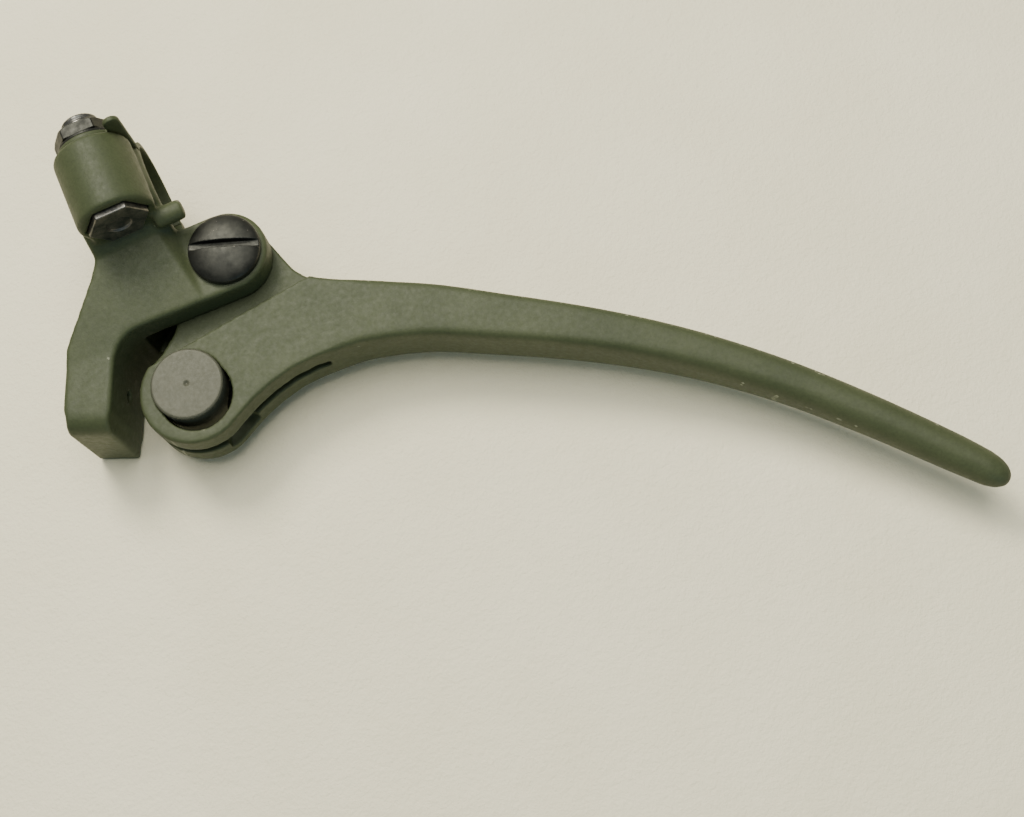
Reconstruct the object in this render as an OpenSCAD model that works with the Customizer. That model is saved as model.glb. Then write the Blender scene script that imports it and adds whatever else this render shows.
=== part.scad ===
// Motorcycle hand lever on a clamp-on handlebar bracket.
// Frame: origin at the centre of the handlebar bore, +X along the bar towards the grip,
// +Z parallel to the lever's pivot axis. All lengths are in millimetres.

/* [Handlebar clamp] */
// Diameter of the handlebar
bar_d = 25.4; // [25:0.1:26]
// Width of the clamp along the bar
clamp_w = 20; // [19:0.5:21]
// Wall of the cast saddle round the bar
saddle_wall = 2.4; // [2.2:0.1:3]
// Thickness of the strap
strap_t = 1.4; // [1.3:0.1:1.6]
// Height of the clamp bolt above the bar's centre
bolt_z = 18; // [17.8:0.1:18.6]
// Diameter of the barrel round the clamp bolt
barrel_d = 18.8; // [18.4:0.1:19.4]
// Diameter of the clamp bolt
bolt_d = 8.8; // [8:0.1:9.2]
// Width of the clamp bolt's hexagon across its corners
bolt_hex_d = 15; // [14:0.1:15.4]
// Width of the clamp nut across its corners
nut_hex_d = 15.4; // [15:0.1:16]

/* [Bracket] */
// Pivot axis from the bar's centre, along the bar
pivot_x = 19; // [18.8:0.1:20]
// Pivot axis from the bar's centre, across the bar
pivot_y = -22.5; // [-23:0.1:-22.5]
// Pivot mid-plane from the bar's centre
pivot_z = -9; // [-9.4:0.1:-8.8]
// Thickness of the bracket along the pivot axis
bracket_t = 27; // [26:0.5:28]
// Opening of the fork that holds the lever
fork_gap = 12.4; // [12.3:0.05:12.8]
// Outer radius of the fork's eye
eye_r = 10; // [9.8:0.1:10.5]
// Angle of the leg from square to the bar
leg_angle = -24; // [-25:1:-23]
// Diameter of the seat for the cable housing
housing_d = 8; // [7:0.1:9]
// Diameter of the hole for the cable wire
wire_d = 3.2; // [2.5:0.1:3.6]

/* [Lever] */
// Angle of the lever's chord from the bar, at rest
lever_angle = -40; // [-42:1:-38]
// Thickness of the lever's raised face
lever_t = 16; // [15:0.5:16.4]
// Thickness of the milled tongue inside the fork
tongue_t = 12; // [11.6:0.1:12.1]
// Outer radius of the lever's eye
lever_eye_r = 9.6; // [9:0.1:9.8]
// Radius of the boss round the anchor pin
boss_r = 12.9; // [12.5:0.1:13.2]
// Width of the cable slot
slot_w = 3; // [2.6:0.1:3.4]

/* [Pivot] */
// Diameter of the pivot screw's shoulder
shoulder_d = 9.9; // [9.8:0.01:9.94]
// Diameter of the pivot screw's head
screw_head_d = 17.5; // [16.5:0.1:18]
// Diameter of the pivot screw's thread
thread_d = 8; // [7.5:0.1:8.5]
// Outer diameter of the bronze bush
bush_d = 13; // [12.6:0.1:13.4]

/* [Anchor pin] */
// Diameter of the cable anchor pin
pin_d = 17.5; // [17:0.1:17.8]
// Height of the pin's top above the lever's raised face
pin_proud = 2; // [1.5:0.1:2.5]
// Length of the pin
pin_l = 23.4; // [22:0.1:23.4]

/* [Hidden] */
$fn = 96;
bar_r = bar_d / 2;
saddle_r = bar_r + saddle_wall;
barrel_r = barrel_d / 2;
hook_at = [0, -2.6, -bar_r - 2.9];
hook_r = 1.9;
barrel_y0 = -10.9;
barrel_y1 = 7.7;
skirt_z = 7;
skirt_x = 8;
ear_r = 7.6;
ear_top = 9.6;
ear_x0 = 6.2;
ear_gap = 0.32;
ear_y0 = barrel_y1 + ear_gap;
ear_y1 = ear_y0 + strap_t;
ring_top = 9;
bar_relief = 0.6;
washer_t = 0.8;
bolt_nut_y0 = ear_y1 + washer_t;
bolt_nut_h = 3.2;
bolt_end_proud = 3.2;
bolt_head_proud = 1.2;
head_pocket = 4;
fit = 0.05;
bore_clear = 0.2;
half = bracket_t / 2;
plate_top = pivot_z + half;
ramp_z = 8.2;
ramp_x1 = 10;
lug_x0 = 7;
lug_l = 7.4;
lug_r = 2.5;
lug_at = [-11.4, 11.6];
shoulder_r = shoulder_d / 2;
hinge_bore_r = shoulder_r + fit;
thread_r = thread_d / 2;
olive = [0.35, 0.38, 0.26];
black_steel = [0.16, 0.16, 0.16];
grey_steel = [0.55, 0.53, 0.46];
bronze = [0.66, 0.5, 0.28];

// Points of interest in the lever's frame: x runs from the pivot to the tip.
pin_at = [0.5, -33];
boss_at = [1.8, -33.9];
relief_at = [2.9, -34.6];
relief_r = 8.8;
pocket_at = [14.5, -38];
pocket_r = 5;
// The cable runs through the leg at this height of the bracket's frame.
cable_y = -31.9;
leg_x0 = -37;
leg_x1 = -25.3;

// Blade stations: distance along the chord, centre, width, thickness, squareness of the section.
BLADE = [[25, -9.4, 21.4, 15.9, 12], [31, -6.6, 19.2, 16, 12], [38, -3.6, 16.2, 16, 10],
         [51, 0.2, 13.6, 16, 8], [66, 2.6, 12, 16, 7], [84, 5.1, 10.6, 15.8, 6], [101, 6.6, 9.8, 15, 4.6],
         [118, 6.9, 9.5, 13.6, 3.4], [137, 5.7, 9.4, 12, 2.7], [157, 2.8, 9.3, 10.8, 2.3],
         [176, -0.8, 8.9, 9.6, 2.1], [185, -2.7, 8.1, 8.5, 2]];
TIP = [[187.6, -3.2, 6.9, 7.2, 2], [189.4, -3.5, 4.8, 5.0, 2], [190.4, -3.7, 2.2, 2.3, 2]];
steps = 3;
ring_n = 20;

module in_plate() translate([pivot_x, pivot_y, pivot_z]) rotate(leg_angle) children();
module in_lever() translate([pivot_x, pivot_y, pivot_z]) rotate(lever_angle) children();
module along_bar(r, h) rotate([0, 90, 0]) cylinder(r = r, h = h, center = true);
module along_bolt(r, y0, y1) translate([0, y0, bolt_z]) rotate([-90, 0, 0]) cylinder(r = r, h = y1 - y0);
module block_between(low, high) translate(low) cube(high - low);
module slab(h) translate([0, 0, -h / 2]) linear_extrude(h) children();

// ---------------------------------------------------------------- bracket

// Outline of the bracket, in the frame whose y axis runs along the leg.
module plate_outline() {
    inner_r = 9;
    circle(eye_r);
    difference() {
        polygon([[-2, eye_r - 0.2], [-11, 7], [-30.4, -1.6], [-31.6, -7.5], [leg_x0, -24], [leg_x0, -38.5],
                 [leg_x0 + 1.9, -42.4], [leg_x1 - 1.6, -41.6], [leg_x1, -39.4], [leg_x1, -25],
                 [-24.4, -21.5], [-22.3, -19], [-4, -9.4 - 0.2]]);
        translate([leg_x1 + inner_r, -27]) circle(inner_r);
    }
}

// Room for the lever's tongue, open towards the anchor pin and the blade.
module fork_room() {
    circle(lever_eye_r + 0.9);
    polygon([[-10.4, 1.5], [-17.5, -11], [-20.5, -18], [-20.5, -50], [60, -50], [60, 40], [4, 40],
             [1, 10.4]]);
}

// Strap as drawn; grow widens it into the room that it needs in the bracket.
module strap_shape(grow = 0) {
    w = clamp_w + (grow > 0 ? 2 : 0);
    bend = 52;
    y0 = ear_y0 - grow;
    y1 = ear_y1 + grow;
    corner_r = 2;
    corner_z = bolt_z + ear_top - corner_r;
    lip_y1 = 1;
    far = 2 * bar_r;
    difference() {
        union() {
            // Half ring from below the bar up to the bend under the ear
            intersection() {
                along_bar(bar_r + strap_t + grow, w);
                union() {
                    block_between([-w, 0, -far], [w, far, 0]);
                    rotate([bend, 0, 0]) block_between([-w, 0, -far], [w, far, 0]);
                }
            }
            // Ear under the nut, with one square shoulder
            along_bolt(ear_r + grow, y0, y1);
            block_between([-ear_r - grow, y0, ring_top], [w / 2, y1, bolt_z]);
            block_between([ear_x0, y0, ring_top], [w / 2, y1, corner_z]);
            translate([w / 2 - corner_r, y0, corner_z]) rotate([-90, 0, 0]) cylinder(r = corner_r, h = y1 - y0);
            // Hook on the bracket's lower lip
            translate(hook_at) along_bar(hook_r + grow, w);
            block_between([-w / 2, hook_at.y, -bar_r - strap_t - grow], [w / 2, lip_y1, -bar_r - 0.1]);
        }
        if (grow == 0) along_bar(bar_r, 3 * clamp_w);
        if (grow == 0) along_bolt(bolt_d / 2 + bore_clear, ear_y0 - 1, ear_y1 + 1);
    }
}

// The barrel is a round-topped block that stands on the saddle.
module barrel() {
    along_bolt(barrel_r, barrel_y0, barrel_y1);
    block_between([-skirt_x, barrel_y0, skirt_z], [skirt_x, barrel_y1, bolt_z]);
}

// Gentle ramp from the plate's top face up to the barrel's lower end, sloped off beside the screw.
module ramp() {
    ramp_y0 = -34;
    ramp_y1 = -12.4;
    ramp_back = -8;
    inside = 0.01;
    intersection() {
        rotate([90, 0, 90]) translate([0, 0, -30]) linear_extrude(30 + ramp_x1)
            polygon([[ramp_y0, plate_top], [ramp_y1, ramp_z], [ramp_back, ramp_z], [ramp_back, 0], [ramp_y0, 0]]);
        translate([pivot_x, pivot_y, 0]) rotate(leg_angle) linear_extrude(20)
            offset(delta = -inside) plate_outline();
        translate([ramp_x1, 0, plate_top]) rotate([0, -45, 0]) block_between([-60, -60, -40], [0, 0, 40]);
    }
}

// Half saddle on the near side of the bar, cut back where the strap closes the ring.
module saddle() {
    far = 2 * clamp_w;
    block_y0 = -26.5;
    block_y1 = -2.5;
    lower_lip_y = -1;
    upper_lip_y = 4;
    upper_lip_z = 8.4;
    difference() {
        union() {
            along_bar(saddle_r, clamp_w);
            block_between([-clamp_w / 2, block_y0, pivot_z - half], [clamp_w / 2, block_y1, plate_top]);
            ramp();
            barrel();
        }
        block_between([-far, barrel_y1, -far], [far, far, far]);
        block_between([-far, lower_lip_y, -far], [far, far, 1]);
        block_between([-far, upper_lip_y, 0], [far, far, upper_lip_z]);
    }
}

module bracket() {
    color(olive) difference() {
        union() {
            in_plate() slab(bracket_t) plate_outline();
            saddle();
            // Rounded lug beside the barrel's lower end
            translate([lug_x0, lug_at.x, lug_at.y]) rotate([0, 90, 0]) cylinder(r = lug_r, h = lug_l);
        }
        along_bar(bar_r, 80);
        for (side = [-1, 1]) translate([side * (clamp_w / 2 + 20.2), 0, 0]) along_bar(bar_r + bar_relief, 40);
        strap_shape(0.3);
        in_plate() slab(fork_gap) fork_room();
        in_plate() cylinder(r = hinge_bore_r, h = bracket_t);
        in_plate() translate([0, 0, -bracket_t]) cylinder(r = thread_r, h = bracket_t);
        in_plate() translate([leg_x0 - 1, cable_y, 0]) rotate([0, 90, 0]) cylinder(r = wire_d / 2, h = 20);
        in_plate() translate([leg_x0 - 1, cable_y, 0]) rotate([0, 90, 0]) cylinder(r = housing_d / 2, h = 9);
        along_bolt(bolt_d / 2 + bore_clear, barrel_y0 - 1, barrel_y1 + 1);
        translate([0, barrel_y0 - 1, bolt_z]) rotate([-90, 0, 0])
            cylinder(d = bolt_hex_d + 0.8, h = head_pocket + 1, $fn = 6);
    }
}

// ---------------------------------------------------------------- clamp hardware

module clamp_strap() {
    color(olive) strap_shape();
}

module clamp_bolt() {
    head_y0 = barrel_y0 - bolt_head_proud;
    color(grey_steel) difference() {
        union() {
            along_bolt(bolt_d / 2, barrel_y0, bolt_nut_y0 + bolt_nut_h + bolt_end_proud);
            intersection() {
                translate([0, head_y0, bolt_z]) rotate([-90, 0, 0])
                    cylinder(d = bolt_hex_d, h = head_pocket + bolt_head_proud - fit, $fn = 6);
                translate([0, head_y0, bolt_z]) rotate([-90, 0, 0])
                    cylinder(r1 = bolt_hex_d / 2 - 0.9, r2 = bolt_hex_d / 2 + 6, h = 8);
            }
        }
        translate([0, head_y0 - 1, bolt_z]) rotate([-90, 0, 0]) cylinder(d = 6, h = 1.5);
    }
}

module clamp_nut() {
    color(black_steel) difference() {
        intersection() {
            translate([0, bolt_nut_y0, bolt_z]) rotate([-90, 0, 0])
                cylinder(d = nut_hex_d, h = bolt_nut_h, $fn = 6);
            translate([0, bolt_nut_y0 - 4, bolt_z]) rotate([-90, 0, 0])
                cylinder(r1 = nut_hex_d / 2 + 7, r2 = nut_hex_d / 2 - 1, h = bolt_nut_h + 4);
        }
        along_bolt(bolt_d / 2, bolt_nut_y0 - 1, bolt_nut_y0 + bolt_nut_h + 1);
    }
}

module clamp_lock_washer() {
    color(black_steel) difference() {
        along_bolt(7.2, ear_y1, bolt_nut_y0);
        along_bolt(bolt_d / 2 + 0.1, ear_y1 - 1, bolt_nut_y0 + 1);
        translate([0, ear_y1 - 1, bolt_z]) rotate([0, 35, 0]) cube([12, 4, 0.9]);
    }
}

// ---------------------------------------------------------------- pivot

module pivot_screw() {
    head_r = screw_head_d / 2;
    head_h = 3.6;
    edge_h = 1.2;
    thread_recess = 0.4;
    dome = [for (a = [0 : 12 : 84]) [head_r * cos(a), edge_h + (head_h - edge_h) * sin(a)]];
    color(black_steel) translate([pivot_x, pivot_y, pivot_z]) difference() {
        union() {
            translate([0, 0, half]) rotate_extrude()
                polygon(concat([[0, 0], [head_r, 0]], dome, [[0, head_h]]));
            translate([0, 0, -fork_gap / 2]) cylinder(r = shoulder_r, h = half + fork_gap / 2 + 0.5);
            translate([0, 0, thread_recess - half]) cylinder(r = thread_r, h = half);
        }
        rotate(leg_angle + 3) translate([-12, -0.3, half + 1.7]) cube([24, 1.8, 5]);
    }
}

module pivot_bushing() {
    color(bronze) in_lever() difference() {
        translate([0, 0, -tongue_t / 2]) cylinder(d = bush_d, h = tongue_t);
        translate([0, 0, -tongue_t]) cylinder(r = hinge_bore_r, h = 2 * tongue_t);
    }
}

// ---------------------------------------------------------------- lever

// Catmull-Rom blend of four stations.
function blend(a, b, c, d, t) =
    ((2 * b) + (c - a) * t + (2 * a - 5 * b + 4 * c - d) * t * t + (3 * b - a - 3 * c + d) * t * t * t) / 2;
function station(i) = BLADE[max(0, min(len(BLADE) - 1, i))];
blade_rows = concat([for (i = [0 : len(BLADE) - 2], s = [0 : steps - 1])
    blend(station(i - 1), station(i), station(i + 1), station(i + 2), s / steps)],
    [station(len(BLADE) - 1)], TIP);
function power(v, e) = sign(v) * pow(abs(v), 2 / e);
function ring(r) = [for (k = [0 : ring_n - 1]) let (a = 360 * (k + 0.5) / ring_n)
    [r[0], r[1] + r[2] / 2 * power(cos(a), r[4]), r[3] / 2 * power(sin(a), r[4])]];

module blade() {
    rows = len(blade_rows);
    points = [for (r = blade_rows) each ring(r)];
    sides = [for (i = [0 : rows - 2], k = [0 : ring_n - 1]) let (a = i * ring_n + k,
        b = i * ring_n + (k + 1) % ring_n) each [[a, b + ring_n, b], [a, a + ring_n, b + ring_n]]];
    start = [for (k = [1 : ring_n - 2]) [0, k, k + 1]];
    end = [for (k = [1 : ring_n - 2]) let (a = (rows - 1) * ring_n) [a, a + k + 1, a + k]];
    polyhedron(points, concat(sides, start, end), convexity = 6);
}

// Flat root of the lever: eye, web and anchor boss.
module root_outline() {
    circle(lever_eye_r);
    translate(boss_at) circle(boss_r);
    polygon([[-lever_eye_r, 0], [-9.2, -12], [-7.9, -20.8], [-9.4, -28], boss_at, [12.4, -41],
             [14.4, -37], [16.6, -32], [19.4, -27.3], [23, -22.6], [27, -18.9], [31, -15.9],
             [31, 2.6], [25.5, 1.5], [21.5, 0.9], [18.5, 0.9], [15, 1.9], [11.8, 3.9], [7, 7.1]]);
}

// The milled step: everything on the pivot's side of this line is tongue.
module tongue_side() {
    polygon([[-3.6, -23.8], [19.6, 0.4], [50, 32], [-60, 60], [-60, -32.5], [-12, -32.5]]);
}

module slot_room() {
    polygon([[-40, -25], [10, -25], [20, -20], [28.8, -14.8], [34, -30], [20, -60], [-40, -60]]);
}

module lever() {
    color(olive) in_lever() difference() {
        union() {
            slab(lever_t) root_outline();
            blade();
        }
        for (side = [0, 1]) mirror([0, 0, side])
            translate([0, 0, tongue_t / 2]) linear_extrude(6) tongue_side();
        slab(slot_w) slot_room();
        translate([pin_at.x, pin_at.y, -20]) cylinder(d = pin_d + 2 * fit, h = 40);
        translate([relief_at.x, relief_at.y, 0]) cylinder(r = relief_r, h = 20);
        translate([pocket_at.x, pocket_at.y, -5]) cylinder(r = pocket_r, h = 5 + slot_w / 2);
        translate([0, 0, -20]) cylinder(d = bush_d + 0.04, h = 40);
    }
}

module cable_anchor_pin() {
    top = lever_t / 2 + pin_proud;
    edge = 0.4;
    across = leg_angle - lever_angle;
    color(grey_steel) in_lever() translate([pin_at.x, pin_at.y, 0]) difference() {
        union() {
            translate([0, 0, top - pin_l + edge]) cylinder(d = pin_d, h = pin_l - 2 * edge);
            translate([0, 0, top - edge]) cylinder(r1 = pin_d / 2, r2 = pin_d / 2 - edge, h = edge);
            translate([0, 0, top - pin_l]) cylinder(r1 = pin_d / 2 - edge, r2 = pin_d / 2, h = edge);
        }
        rotate(across) translate([-20, 0, 0]) rotate([0, 90, 0]) cylinder(d = wire_d, h = 40);
        rotate(across) translate([1, 0, 0]) rotate([0, 90, 0]) cylinder(d = 7.4, h = 20);
        translate([0, 0, top - 0.5]) cylinder(r1 = 0.1, r2 = 0.9, h = 0.6);
    }
}

bracket();
clamp_strap();
clamp_bolt();
clamp_nut();
clamp_lock_washer();
pivot_screw();
lever();
pivot_bushing();
cable_anchor_pin();
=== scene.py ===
"""A motorcycle hand lever and its handlebar bracket, painted olive, lying on a pale floor.

Lengths are drawn in millimetres in the part's own frame and scaled to metres at the end of each piece.
The forged pieces are made twice over: a soft forged body first, then crisp machined cuts in it.
"""
import math

import bpy
from mathutils import Matrix, Vector


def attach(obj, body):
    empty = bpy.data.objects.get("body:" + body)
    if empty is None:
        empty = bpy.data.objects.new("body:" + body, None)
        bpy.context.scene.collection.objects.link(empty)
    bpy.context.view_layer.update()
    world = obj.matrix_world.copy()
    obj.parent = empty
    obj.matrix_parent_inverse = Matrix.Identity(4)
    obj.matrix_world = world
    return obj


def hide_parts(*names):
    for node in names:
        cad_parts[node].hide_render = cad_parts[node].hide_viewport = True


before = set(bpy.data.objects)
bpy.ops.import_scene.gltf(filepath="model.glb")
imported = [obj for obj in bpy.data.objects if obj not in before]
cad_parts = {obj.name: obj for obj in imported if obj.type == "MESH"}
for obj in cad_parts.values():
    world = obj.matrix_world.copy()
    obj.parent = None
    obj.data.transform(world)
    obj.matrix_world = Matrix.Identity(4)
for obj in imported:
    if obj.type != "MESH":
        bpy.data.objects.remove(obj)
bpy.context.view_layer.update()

MM = 0.001
PIVOT = Vector((19, -22.5, -9))
LEG_ANGLE = math.radians(-24)
LEVER_ANGLE = math.radians(-40)
BAR_R = 12.7
CLAMP_W = 20
STRAP_T = 1.4
BOLT_Z = 18
BOLT_R = 4.4
BARREL_R = 9.4
BARREL_Y = (-10.9, 7.7)
EAR_Y = (BARREL_Y[1] + 0.32, BARREL_Y[1] + 0.32 + STRAP_T)
EAR_R = 7.6
HOOK_AT = (-2.6, -BAR_R - 2.9)
WASHER_T = 0.8
NUT_Y = EAR_Y[1] + WASHER_T
NUT_H = 3.2
BOLT_PROUD = 3.2
HEAD_Y = BARREL_Y[0] - 1.2
HEAD_SUNK = 4
BOLT_HEX = 15
NUT_HEX = 15.4
WASHER_R = 7.2
HALF_T = 13.5
FORK_GAP = 12.4
EYE_R = 10
LEG_X = (-37, -25.3)
LEG_Y = -39.5
LEG_END_R = 4.6
RAMP_Z = 8.2
RAMP_X = 10
RAMP_Y = (-34, -12.4, -8)
SADDLE_WALL = 2.4
LUG_R = 2.5
LUG_X = (7, 14.4)
LUG_AT = (-11.4, 11.6)
BORE_GAP = 0.2
LEVER_T = 16
TONGUE_T = 12
LEVER_EYE_R = 9.6
PIN_AT = Vector((0.5, -33))
PIN_R = 8.75
BOSS_AT = Vector((1.8, -33.9))
BOSS_R = 12.9
RELIEF_AT = Vector((2.9, -34.6))
RELIEF_R = 8.8
POCKET_AT = Vector((14.5, -38))
CABLE_Y = -31.9
IN_PLATE = Matrix.Translation(PIVOT) @ Matrix.Rotation(LEG_ANGLE, 4, "Z")
IN_LEVER = Matrix.Translation(PIVOT) @ Matrix.Rotation(LEVER_ANGLE, 4, "Z")
HERE = Matrix.Identity(4)
# Grid sizes of the painted meshes. Under 0.35 the edge wear takes near vertices for one and draws a line.
FORGED_VOXEL = 0.42
FINE_VOXEL = 0.37

# ---------------------------------------------------------------- camera, floor and lights

TARGET = Vector((65.8, -83.7, -9)) * MM
CAMERA_AT = Vector((48.6, -191.1, 354.8)) * MM
# The picture's up runs along the bracket's leg.
LEG_UP = Vector((math.sin(-LEG_ANGLE), math.cos(LEG_ANGLE), 0))


def aim(obj, place, target, up):
    """Puts obj at place, looking along its -Z at target, with its +Y leaning towards up."""
    back = (place - target).normalized()
    right = up.cross(back).normalized()
    rows = Matrix((right, back.cross(right), back)).transposed()
    obj.matrix_world = Matrix.Translation(place) @ rows.to_4x4()


def make_camera():
    data = bpy.data.cameras.new("camera")
    data.lens = 56.25
    data.sensor_width = 36
    data.clip_start = 0.01
    cam = bpy.data.objects.new("camera", data)
    bpy.context.scene.collection.objects.link(cam)
    aim(cam, CAMERA_AT, TARGET, LEG_UP)
    bpy.context.scene.camera = cam


def area_light(name, place, size, power, colour):
    data = bpy.data.lights.new(name, "AREA")
    data.shape = "DISK"
    data.size = size
    data.energy = power
    data.color = colour
    lamp = bpy.data.objects.new(name, data)
    bpy.context.scene.collection.objects.link(lamp)
    aim(lamp, TARGET + Vector(place), TARGET, Vector((0, 0.3, 1)))


def in_view(right, up, height):
    """A direction given by the picture: along its right, along its up, and off the floor."""
    across = Vector((LEG_UP.y, -LEG_UP.x, 0))
    return across * right + LEG_UP * up + Vector((0, 0, height))


make_camera()
area_light("key", in_view(-0.35, 0.5, 0.75), 0.35, 7.5, (1.0, 0.94, 0.80))
area_light("overhead", in_view(-0.1, 0.3, 1.3), 1.2, 19, (1.0, 0.97, 0.87))
area_light("fill", in_view(0.5, -1.0, 0.35), 0.9, 1.6, (0.35, 0.8, 1.0))
world = bpy.data.worlds.new("studio")
bpy.context.scene.world = world
world.use_nodes = True
world.node_tree.nodes["Background"].inputs["Color"].default_value = (0.78, 0.86, 0.9, 1)
world.node_tree.nodes["Background"].inputs["Strength"].default_value = 0.3

# ---------------------------------------------------------------- materials


class Shader:
    """A principled material with short ways to add procedural nodes, in millimetres of the part's frame."""

    def __init__(self, name, **sockets):
        self.mat = bpy.data.materials.new(name)
        self.mat.use_nodes = True
        self.tree = self.mat.node_tree
        self.bsdf = self.tree.nodes["Principled BSDF"]
        for socket, value in sockets.items():
            self.bsdf.inputs[socket.replace("_", " ")].default_value = value
        self.coords = self.add("ShaderNodeTexCoord").outputs["Object"]

    def add(self, kind, **settings):
        node = self.tree.nodes.new(kind)
        for key, value in settings.items():
            setattr(node, key, value)
        return node

    def link(self, source, target):
        self.tree.links.new(source, target)

    def noise(self, per_mm, detail=4, roughness=0.6):
        node = self.add("ShaderNodeTexNoise")
        node.inputs["Scale"].default_value = per_mm / MM
        node.inputs["Detail"].default_value = detail
        node.inputs["Roughness"].default_value = roughness
        self.link(self.coords, node.inputs["Vector"])
        return node.outputs["Fac"]

    def ramp(self, source, *stops):
        node = self.add("ShaderNodeValToRGB")
        elements = node.color_ramp.elements
        while len(elements) < len(stops):
            elements.new(0.5)
        for element, (place, value) in zip(elements, stops):
            element.position = place
            element.color = (*value, 1) if isinstance(value, tuple) else (value, value, value, 1)
        self.link(source, node.inputs["Fac"])
        return node.outputs["Color"]

    def mix(self, factor, first, second, blend="MIX"):
        node = self.add("ShaderNodeMix", data_type="RGBA", blend_type=blend)
        for socket, value in zip((0, 6, 7), (factor, first, second)):
            if isinstance(value, (int, float)) and socket:
                value = (value, value, value)
            if isinstance(value, tuple):
                node.inputs[socket].default_value = (*value, 1)
            elif isinstance(value, float):
                node.inputs[socket].default_value = value
            else:
                self.link(value, node.inputs[socket])
        return node.outputs[2]

    def convex(self, low, high):
        """White on convex edges, black elsewhere."""
        return self.ramp(self.add("ShaderNodeNewGeometry").outputs["Pointiness"], (low, 0.0), (high, 1.0))

    def bump(self, *layers):
        """Each layer is a height source, a strength and a height in millimetres."""
        previous = None
        for source, strength, height in layers:
            node = self.add("ShaderNodeBump")
            node.inputs["Strength"].default_value = strength
            node.inputs["Distance"].default_value = height * MM
            self.link(source, node.inputs["Height"])
            if previous:
                self.link(previous, node.inputs["Normal"])
            previous = node.outputs["Normal"]
        self.link(previous, self.bsdf.inputs["Normal"])

    def colour(self, source):
        self.link(source, self.bsdf.inputs["Base Color"])

    def rough(self, source):
        self.link(source, self.bsdf.inputs["Roughness"])


def olive_paint():
    s = Shader("olive_paint", Roughness=0.6, Specular_IOR_Level=0.28)
    base = s.ramp(s.noise(0.05, 5), (0.3, (0.040, 0.051, 0.022)), (0.7, (0.058, 0.070, 0.032)))
    speck = s.ramp(s.noise(1.3, 3, 0.7), (0.3, 0.88), (0.62, 1.08))
    painted = s.mix(1.0, base, speck, "MULTIPLY")
    grime = s.ramp(s.noise(0.3, 6, 0.7), (0.24, 1.0), (0.32, 0.0))
    painted = s.mix(grime, painted, (0.040, 0.046, 0.030))
    worn = s.mix(1.0, s.convex(0.565, 0.63), s.ramp(s.noise(0.4, 6, 0.7), (0.38, 0.0), (0.6, 0.9)), "MULTIPLY")
    s.colour(s.mix(worn, painted, (0.26, 0.27, 0.19)))
    s.rough(s.ramp(s.noise(0.8, 4), (0.3, 0.46), (0.7, 0.62)))
    s.bump((s.noise(0.22, 3), 0.4, 0.28), (s.noise(1.3, 4, 0.65), 0.6, 0.06))
    return s.mat


def blackened_steel():
    s = Shader("blackened_steel", Metallic=0.6, Roughness=0.5, Specular_IOR_Level=0.3)
    base = s.ramp(s.noise(0.25, 6, 0.65), (0.3, (0.014, 0.015, 0.013)), (0.7, (0.036, 0.037, 0.031)))
    worn = s.mix(1.0, s.convex(0.60, 0.74), s.ramp(s.noise(0.8, 5, 0.7), (0.40, 0.0), (0.6, 1.0)), "MULTIPLY")
    s.colour(s.mix(worn, base, (0.42, 0.37, 0.31)))
    s.rough(s.ramp(s.noise(0.6, 5), (0.3, 0.34), (0.7, 0.55)))
    s.bump((s.noise(0.9, 5, 0.7), 0.4, 0.06))
    return s.mat


def bare_steel():
    s = Shader("bare_steel", Metallic=0.9, Roughness=0.38)
    base = s.ramp(s.noise(0.4, 6, 0.7), (0.35, (0.07, 0.075, 0.075)), (0.65, (0.20, 0.19, 0.17)))
    worn = s.convex(0.54, 0.64)
    s.colour(s.mix(worn, base, (0.62, 0.52, 0.46)))
    s.rough(s.ramp(s.noise(0.9, 4), (0.3, 0.28), (0.7, 0.5)))
    s.bump((s.noise(0.8, 5, 0.7), 0.4, 0.05))
    return s.mat


def turned_steel():
    s = Shader("turned_steel", Metallic=0.15, Roughness=0.55, Specular_IOR_Level=0.3)
    base = s.ramp(s.noise(0.6, 6, 0.75), (0.3, (0.062, 0.065, 0.045)), (0.7, (0.098, 0.099, 0.072)))
    worn = s.mix(1.0, s.convex(0.60, 0.74), s.ramp(s.noise(0.7, 5, 0.7), (0.4, 0.0), (0.62, 0.8)), "MULTIPLY")
    s.colour(s.mix(worn, base, (0.42, 0.42, 0.38)))
    s.rough(s.ramp(s.noise(1.2, 4), (0.3, 0.42), (0.7, 0.62)))
    s.bump((s.noise(1.4, 5, 0.7), 0.4, 0.05))
    return s.mat


def bronze():
    s = Shader("bronze", Metallic=0.9, Roughness=0.4)
    s.colour(s.ramp(s.noise(0.4, 5), (0.3, (0.36, 0.22, 0.09)), (0.7, (0.52, 0.34, 0.15))))
    s.bump((s.noise(1.2, 4), 0.3, 0.03))
    return s.mat


def foam_floor():
    s = Shader("floor_foam", Roughness=0.55)
    s.colour(s.ramp(s.noise(0.02, 3), (0.3, (0.84, 0.78, 0.56)), (0.7, (0.90, 0.84, 0.62))))
    s.bump((s.noise(0.35, 4, 0.6), 0.6, 0.5), (s.noise(1.1, 3, 0.7), 0.8, 0.3))
    return s.mat


OLIVE = olive_paint()
BLACK = blackened_steel()
BARE = bare_steel()
TURNED = turned_steel()
BRONZE = bronze()

# ---------------------------------------------------------------- solids, in millimetres


def mesh_object(name, points, faces, place=HERE):
    mesh = bpy.data.meshes.new(name)
    mesh.from_pydata([place @ Vector(p) for p in points], [], faces)
    mesh.validate()
    obj = bpy.data.objects.new(name, mesh)
    bpy.context.scene.collection.objects.link(obj)
    return obj


def stack(name, rings, place=HERE):
    """A closed solid through rings of points that all have the same length."""
    n = len(rings[0])
    points = [p for ring in rings for p in ring]
    faces = [tuple(range(n))[::-1], tuple(range(len(points) - n, len(points)))]
    for i in range(len(rings) - 1):
        for k in range(n):
            a, b = i * n + k, i * n + (k + 1) % n
            faces.append((a, b, b + n, a + n))
    return mesh_object(name, points, faces, place)


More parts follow.
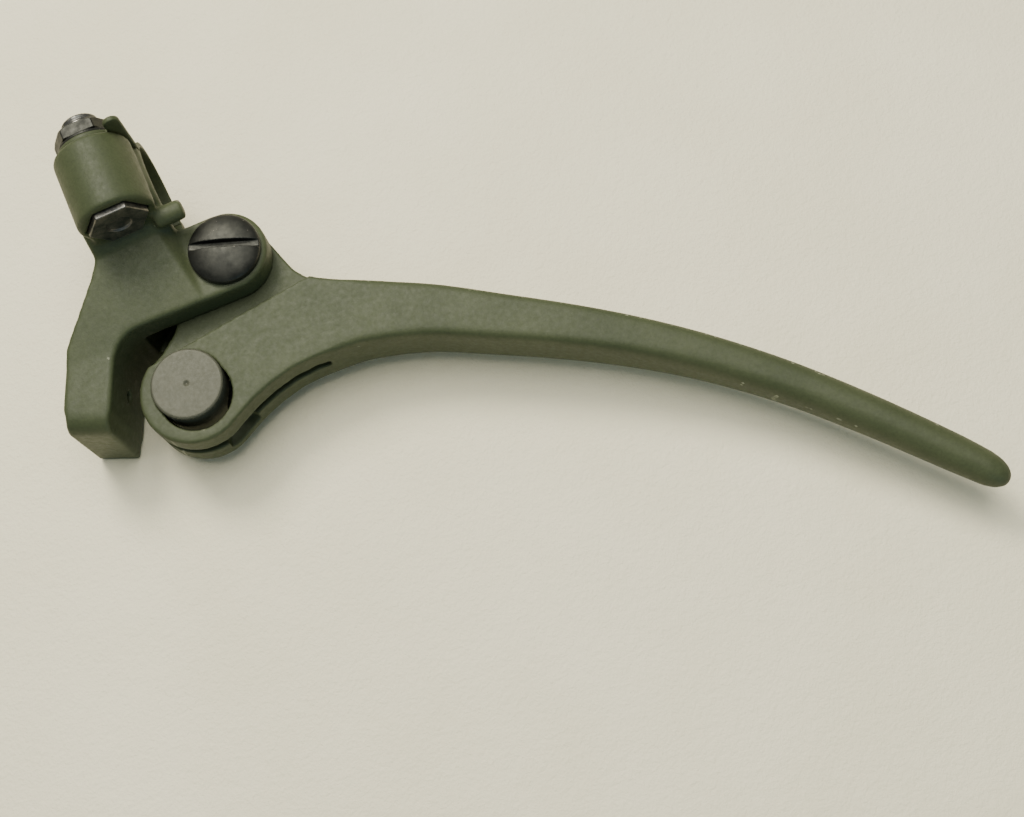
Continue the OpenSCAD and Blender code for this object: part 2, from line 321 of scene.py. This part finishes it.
def prism(outline, low, high, place=HERE):
    """An outline, drawn anticlockwise, made solid between two heights."""
    return stack("prism", [[(x, y, z) for x, y in outline] for z in (low, high)], place)


def arc(centre, r, start, end, steps):
    angles = [math.radians(start + (end - start) * k / steps) for k in range(steps + 1)]
    return [(centre[0] + r * math.cos(a), centre[1] + r * math.sin(a)) for a in angles]


def rod(r, low, high, place=HERE, sides=72, top_r=None):
    """A cylinder or cone along its own Z."""
    rings = []
    for z, radius in ((low, r), (high, r if top_r is None else top_r)):
        rings.append([(x, y, z) for x, y in arc((0, 0), radius, 0, 360 - 360 / sides, sides - 1)])
    return stack("rod", rings, place)


def block(low, high, place=HERE):
    return prism([(low[0], low[1]), (high[0], low[1]), (high[0], high[1]), (low[0], high[1])],
                 low[2], high[2], place)


ALONG_BAR = Matrix.Rotation(math.pi / 2, 4, "Y")
ALONG_BOLT = Matrix.Translation((0, 0, BOLT_Z)) @ Matrix.Rotation(-math.pi / 2, 4, "X")


def use(obj, kind, **settings):
    """Adds a modifier and applies it."""
    modifier = obj.modifiers.new(kind, kind)
    for key, value in settings.items():
        setattr(modifier, key, value)
    evaluated = obj.evaluated_get(bpy.context.evaluated_depsgraph_get())
    mesh = bpy.data.meshes.new_from_object(evaluated)
    obj.modifiers.clear()
    obj.data = mesh
    return obj


def join(name, parts):
    points = []
    faces = []
    for part in parts:
        first = len(points)
        points += [v.co.copy() for v in part.data.vertices]
        faces += [tuple(first + i for i in f.vertices) for f in part.data.polygons]
        bpy.data.objects.remove(part)
    return mesh_object(name, points, faces)


def soften(obj, voxel, rounds):
    """Remeshes obj evenly, then smooths its edges by so many rounds."""
    use(obj, "REMESH", mode="VOXEL", voxel_size=voxel, adaptivity=0)
    return use(obj, "SMOOTH", factor=0.5, iterations=rounds)


def cut(obj, *cutters, operation="DIFFERENCE"):
    for cutter in cutters:
        use(obj, "BOOLEAN", operation=operation, solver="MANIFOLD", object=cutter)
        bpy.data.objects.remove(cutter)
    return obj


def lathe(profile, place=HERE, sides=96):
    """A solid of revolution through (radius, height) points, from the bottom up."""
    rings = [[(x, y, z) for x, y in arc((0, 0), r, 0, 360 - 360 / sides, sides - 1)] for r, z in profile]
    return stack("lathe", rings, place)


def present(obj, node, material, body):
    """Scales a finished piece to metres and puts it in the place of its CAD node."""
    obj.data.transform(Matrix.Scale(MM, 4))
    obj.data.polygons.foreach_set("use_smooth", [True] * len(obj.data.polygons))
    obj.data.materials.clear()
    obj.data.materials.append(material)
    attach(obj, body)
    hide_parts(node)
    return obj


# ---------------------------------------------------------------- bracket


def plate_outline():
    """The bracket from above, up to where the leg's end rounds over; y runs along the leg."""
    inner_r = 9
    inner = arc((LEG_X[1] + inner_r, -27), inner_r, 180, 118, 10)
    eye = arc((0, 0), EYE_R, -68, 101, 40)
    rest = [(-11, 7), (-30.4, -1.6), (-31.6, -7.5), (LEG_X[0], -24), (LEG_X[0] + 0.2, LEG_Y), (LEG_X[1], LEG_Y)]
    return rest + inner + eye


def fork_room():
    return arc((0, 0), LEVER_EYE_R + 0.9, 100, 172, 12) + [
        (-17.5, -11), (-20.5, -18), (-20.5, -50), (60, -50), (60, 40), (4, 40)]


def hexagon(across, low, high, place=ALONG_BOLT, turn=0):
    return rod(across / 2, low, high, place @ Matrix.Rotation(turn, 4, "Z"), 6)


def strap_room():
    """Room for the strap on the far side of the bar, and the cuts that end the saddle."""
    outer = BAR_R + STRAP_T + 0.3
    return [
        block((-20, -0.3, -outer), (20, 40, 1)),
        block((-20, BARREL_Y[1], -30), (20, 40, 40)),
        rod(2.2, -11, 11, Matrix.Translation((0, *HOOK_AT)) @ ALONG_BAR),
        block((-11, HOOK_AT[0], -BAR_R - STRAP_T - 0.3), (11, 2, -BAR_R + 1)),
        block((-20, -1, -40), (20, 40, 1)),
        block((-20, 4, -1), (20, 40, 8.4)),
    ]


def ramp(plate_top):
    """A gentle rise from the plate's top face to the barrel's lower end, sloped off beside the screw."""
    across = Matrix(((0, 0, 1, 0), (1, 0, 0, 0), (0, 1, 0, 0), (0, 0, 0, 1)))
    foot, crest, back = RAMP_Y
    wedge = prism([(foot, 0), (back, 0), (back, RAMP_Z), (crest, RAMP_Z), (foot, plate_top)], -30, RAMP_X, across)
    beside = Matrix.Translation((RAMP_X, -60, plate_top)) @ Matrix.Rotation(math.radians(-45), 4, "Y")
    return cut(wedge, prism(plate_outline(), -20, 20, Matrix.Translation((PIVOT.x, PIVOT.y, 0))
                            @ Matrix.Rotation(LEG_ANGLE, 4, "Z")),
               block((-60, 0, -40), (0, 60, 40), beside), operation="INTERSECT")


def make_bracket():
    half_w = CLAMP_W / 2
    plate_top = PIVOT.z + HALF_T
    leg_end = IN_PLATE @ Matrix.Translation((0, LEG_Y, HALF_T - LEG_END_R)) @ ALONG_BAR
    leg_low, leg_high = LEG_X[0] + 0.8, LEG_X[1] - 0.4
    body = join("bracket_forging", [
        prism(plate_outline(), -HALF_T, HALF_T, IN_PLATE),
        rod(BAR_R + SADDLE_WALL, -half_w, half_w, ALONG_BAR),
        block((-half_w, -26.5, PIVOT.z - HALF_T), (half_w, -2.5, plate_top)),
        ramp(plate_top),
        rod(LEG_END_R, leg_low, leg_high, leg_end),
        block((leg_low, LEG_Y - LEG_END_R, -HALF_T), (leg_high, LEG_Y + 0.1, HALF_T - LEG_END_R), IN_PLATE),
        rod(BARREL_R, *BARREL_Y, ALONG_BOLT, 128),
        block((-8, BARREL_Y[0], 7), (8, BARREL_Y[1], BOLT_Z)),
        rod(LUG_R, *LUG_X, Matrix.Translation((0, *LUG_AT)) @ ALONG_BAR),
    ])
    soften(body, FORGED_VOXEL, 26)
    cable = IN_PLATE @ Matrix.Translation((-38, CABLE_Y, 0)) @ ALONG_BAR
    cut(body, *strap_room(),
        rod(BAR_R, -40, 40, ALONG_BAR, 128),
        rod(BAR_R + 0.6, half_w, 40, ALONG_BAR, 128),
        prism(fork_room(), -FORK_GAP / 2, FORK_GAP / 2, IN_PLATE),
        rod(5, -3, 20, IN_PLATE),
        rod(4, -20, -3, IN_PLATE),
        rod(1.6, 0, 21, cable),
        rod(4, -1, 9, cable),
        rod(BOLT_R + BORE_GAP, BARREL_Y[0] - 2, BARREL_Y[1] + 2, ALONG_BOLT),
        hexagon(BOLT_HEX + 0.8, BARREL_Y[0] - 2, BARREL_Y[0] + HEAD_SUNK))
    soften(body, FINE_VOXEL, 2)
    body.name = "bracket_forged"
    return present(body, "bracket", OLIVE, "bracket_body")


# ---------------------------------------------------------------- lever

BLADE = [(25, -9.4, 21.4, 15.9, 12), (31, -6.6, 19.2, 16, 12), (38, -3.6, 16.2, 16, 10), (51, 0.2, 13.6, 16, 8),
         (66, 2.6, 12, 16, 7), (84, 5.1, 10.6, 15.8, 6), (101, 6.6, 9.8, 15, 4.6),
         (118, 6.9, 9.5, 13.6, 3.4), (137, 5.7, 9.4, 12, 2.7), (157, 2.8, 9.3, 10.8, 2.3),
         (176, -0.8, 8.9, 9.6, 2.1), (185, -2.7, 8.1, 8.5, 2)]
TIP = [(187.6, -3.2, 6.9, 7.2, 2), (189.4, -3.5, 4.8, 5.0, 2), (190.4, -3.7, 2.2, 2.3, 2)]


def blend(a, b, c, d, t):
    """Catmull-Rom blend of four stations, each value on its own."""
    return tuple((2 * q + (r - p) * t + (2 * p - 5 * q + 4 * r - s) * t * t
                  + (3 * q - p - 3 * r + s) * t ** 3) / 2 for p, q, r, s in zip(a, b, c, d))


def blade_solid():
    steps, sides = 8, 64
    last = len(BLADE) - 1
    rows = [blend(BLADE[max(i - 1, 0)], BLADE[i], BLADE[i + 1], BLADE[min(i + 2, last)], k / steps)
            for i in range(last) for k in range(steps)]
    rings = []
    for x, centre, width, thick, square in rows + [BLADE[-1]] + TIP:
        ring = []
        for k in range(sides):
            angle = 2 * math.pi * (k + 0.5) / sides
            c, s = math.cos(angle), math.sin(angle)
            ring.append((x, centre + width / 2 * math.copysign(abs(c) ** (2 / square), c),
                         thick / 2 * math.copysign(abs(s) ** (2 / square), s)))
        rings.append(ring)
    return stack("blade", rings, IN_LEVER)


def make_lever():
    web = [(-LEVER_EYE_R, 0), (-9.2, -12), (-7.9, -20.8), (-9.4, -28), tuple(BOSS_AT), (12.4, -41),
           (14.4, -37), (16.6, -32), (19.4, -27.3), (23, -22.6), (27, -18.9), (31, -15.9),
           (31, 2.6), (25.5, 1.5), (21.5, 0.9), (18.5, 0.9), (15, 1.9), (11.8, 3.9), (7, 7.1)]
    half = LEVER_T / 2
    at_boss = IN_LEVER @ Matrix.Translation((*BOSS_AT, 0))
    body = join("lever_forging", [
        prism(web, -half, half, IN_LEVER),
        rod(LEVER_EYE_R, -half, half, IN_LEVER),
        rod(BOSS_R, -half, half, at_boss),
        blade_solid(),
    ])
    soften(body, FORGED_VOXEL, 10)
    tongue = [(-3.6, -23.8), (19.6, 0.4), (50, 32), (-60, 60), (-60, -32.5), (-12, -32.5)]
    slot = [(-40, -60), (20, -60), (34, -30), (28.8, -14.8), (20, -20), (10, -25), (-40, -25)]
    at_pin = IN_LEVER @ Matrix.Translation((*PIN_AT, 0))
    at_relief = IN_LEVER @ Matrix.Translation((*RELIEF_AT, 0))
    at_pocket = IN_LEVER @ Matrix.Translation((*POCKET_AT, 0))
    cut(body,
        prism(tongue, TONGUE_T / 2, 20, IN_LEVER),
        prism(tongue, -20, -TONGUE_T / 2, IN_LEVER),
        prism(slot, -1.5, 1.5, IN_LEVER),
        rod(PIN_R + 0.05, -20, 20, at_pin),
        rod(RELIEF_R, 0, 20, at_relief),
        rod(5, -5, 1.5, at_pocket),
        rod(6.5, -20, 20, IN_LEVER))
    soften(body, FINE_VOXEL, 2)
    body.name = "lever_forged"
    return present(body, "lever", OLIVE, "lever_body")


# ---------------------------------------------------------------- clamp strap


def make_strap():
    half_w = CLAMP_W / 2
    outer = BAR_R + STRAP_T
    section = arc((0, 0), outer, -91, 52, 48) + arc((0, 0), BAR_R - 0.2, 52, -91, 48)
    corner = Matrix.Translation((half_w - 2, 0, BOLT_Z + 7.6)) @ Matrix.Rotation(-math.pi / 2, 4, "X")
    strap = join("strap", [
        stack("bend", [[(x, y, z) for y, z in section] for x in (-half_w, half_w)]),
        block((-EAR_R, EAR_Y[0], 9), (half_w, EAR_Y[1], BOLT_Z)),
        block((6.2, EAR_Y[0], 9), (half_w, EAR_Y[1], BOLT_Z + 7.6)),
        rod(2, *EAR_Y, corner),
        rod(EAR_R, *EAR_Y, ALONG_BOLT),
        rod(1.9, -half_w, half_w, Matrix.Translation((0, *HOOK_AT)) @ ALONG_BAR),
        block((-half_w, -2.6, -outer), (half_w, 1, -BAR_R - 0.1)),
    ])
    soften(strap, 0.22, 4)
    cut(strap, rod(BOLT_R + BORE_GAP, 0, 30, ALONG_BOLT), rod(BAR_R, -30, 30, ALONG_BAR, 128))
    soften(strap, 0.2, 1)
    strap.name = "clamp_strap_formed"
    return present(strap, "clamp_strap", OLIVE, "bracket_body")


# ---------------------------------------------------------------- hardware, with worn edges


def screw_thread(r, low, high, place, pitch=1.25, depth=0.32):
    """A threaded end, drawn as a row of grooves."""
    turns = int((high - low) / pitch)
    profile = [(r, low)]
    for k in range(turns):
        base = low + k * pitch
        profile += [(r, base + 0.25 * pitch), (r - depth, base + 0.5 * pitch), (r, base + 0.75 * pitch)]
    return lathe(profile + [(r, high - 0.4), (r - 0.5, high)], place)


def finished(parts, name, node, material, body="bracket_body", cutters=(), within=None,
             voxel=0.18, rounds=2):
    """Joins solids into one small worn piece that replaces its CAD node."""
    obj = join(name, parts)
    if within:
        cut(obj, within, operation="INTERSECT")
    soften(obj, voxel, rounds)
    cut(obj, *cutters)
    soften(obj, voxel * 0.9, 1)
    obj.name = name
    return present(obj, node, material, body)


def make_clamp_bolt():
    shank = rod(BOLT_R, BARREL_Y[0], NUT_Y, ALONG_BOLT)
    thread = screw_thread(BOLT_R, NUT_Y - 0.5, NUT_Y + NUT_H + BOLT_PROUD, ALONG_BOLT)
    recess = rod(3, HEAD_Y - 1, HEAD_Y + 0.5, ALONG_BOLT)
    finished([hexagon(BOLT_HEX, HEAD_Y, BARREL_Y[0] + HEAD_SUNK - 0.05), shank, thread],
             "clamp_bolt_turned", "clamp_bolt", BARE, cutters=[recess])


def make_clamp_nut():
    chamfer = rod(15, NUT_Y - 4, NUT_Y + NUT_H + 0.01, ALONG_BOLT, top_r=6.9)
    finished([hexagon(NUT_HEX, NUT_Y, NUT_Y + NUT_H)],
             "clamp_nut_forged", "clamp_nut", BLACK, within=chamfer,
             cutters=[rod(BOLT_R, NUT_Y - 1, NUT_Y + NUT_H + 1, ALONG_BOLT)])


def make_lock_washer():
    hole = rod(BOLT_R + 0.1, EAR_Y[1] - 1, NUT_Y + 1, ALONG_BOLT)
    split = block((0, -0.9, EAR_Y[1] - 1), (12, 0, NUT_Y + 1),
                  ALONG_BOLT @ Matrix.Rotation(math.radians(35), 4, "Z"))
    finished([rod(WASHER_R, EAR_Y[1], NUT_Y, ALONG_BOLT)],
             "clamp_lock_washer_sprung", "clamp_lock_washer", BLACK,
             cutters=[hole, split], voxel=0.14, rounds=1)


def make_pivot_screw():
    head_r, edge, head_h = 8.75, 1.2, 3.6
    dome = [(head_r * math.cos(math.radians(a)), HALF_T + edge + (head_h - edge) * math.sin(math.radians(a)))
            for a in range(0, 89, 4)]
    at_pivot = Matrix.Translation(PIVOT)
    across_head = at_pivot @ Matrix.Rotation(LEG_ANGLE + math.radians(3), 4, "Z")
    head = lathe([(head_r, HALF_T)] + dome, at_pivot)
    shoulder = rod(4.95, -FORK_GAP / 2, HALF_T + 0.5, at_pivot)
    thread = screw_thread(4, 0.4 - HALF_T, -FORK_GAP / 2 + 0.5, at_pivot, depth=0.25)
    driver_slot = block((-12, -0.3, HALF_T + 1.7), (12, 1.5, 20), across_head)
    finished([head, shoulder, thread],
             "pivot_screw_slotted", "pivot_screw", BLACK, cutters=[driver_slot])


def make_anchor_pin():
    at_pin = IN_LEVER @ Matrix.Translation((*PIN_AT, 0)) @ Matrix.Rotation(LEG_ANGLE - LEVER_ANGLE, 4, "Z")
    top = LEVER_T / 2 + 2
    bottom = top - 23.4
    edge = 0.4
    body = lathe([(PIN_R - edge, bottom), (PIN_R, bottom + edge), (PIN_R, top - edge), (PIN_R - edge, top)], at_pin)
    cross_hole = rod(1.6, -20, 20, at_pin @ ALONG_BAR)
    nipple_pocket = rod(3.7, 1, 20, at_pin @ ALONG_BAR)
    centre_mark = rod(0.1, top - 0.5, top + 0.1, at_pin, top_r=0.9)
    finished([body], "cable_anchor_pin_turned", "cable_anchor_pin", TURNED, "anchor_pin_body",
             cutters=[cross_hole, nipple_pocket, centre_mark])


def make_bush():
    finished([rod(6.48, -TONGUE_T / 2, TONGUE_T / 2, IN_LEVER, 128)],
             "pivot_bushing_turned", "pivot_bushing", BRONZE, "lever_body",
             cutters=[rod(5, -20, 20, IN_LEVER, 128)])


make_bracket()
make_lever()
make_strap()
make_clamp_bolt()
make_clamp_nut()
make_lock_washer()
make_pivot_screw()
make_anchor_pin()
make_bush()

# ---------------------------------------------------------------- floor


def make_floor():
    low = PIVOT.z - HALF_T - 0.1
    floor = mesh_object("floor", [(-3000, -3000, low), (3000, -3000, low), (3000, 3000, low), (-3000, 3000, low)],
                        [(0, 1, 2, 3)])
    floor.data.transform(Matrix.Scale(MM, 4))
    floor.data.materials.append(foam_floor())


make_floor()
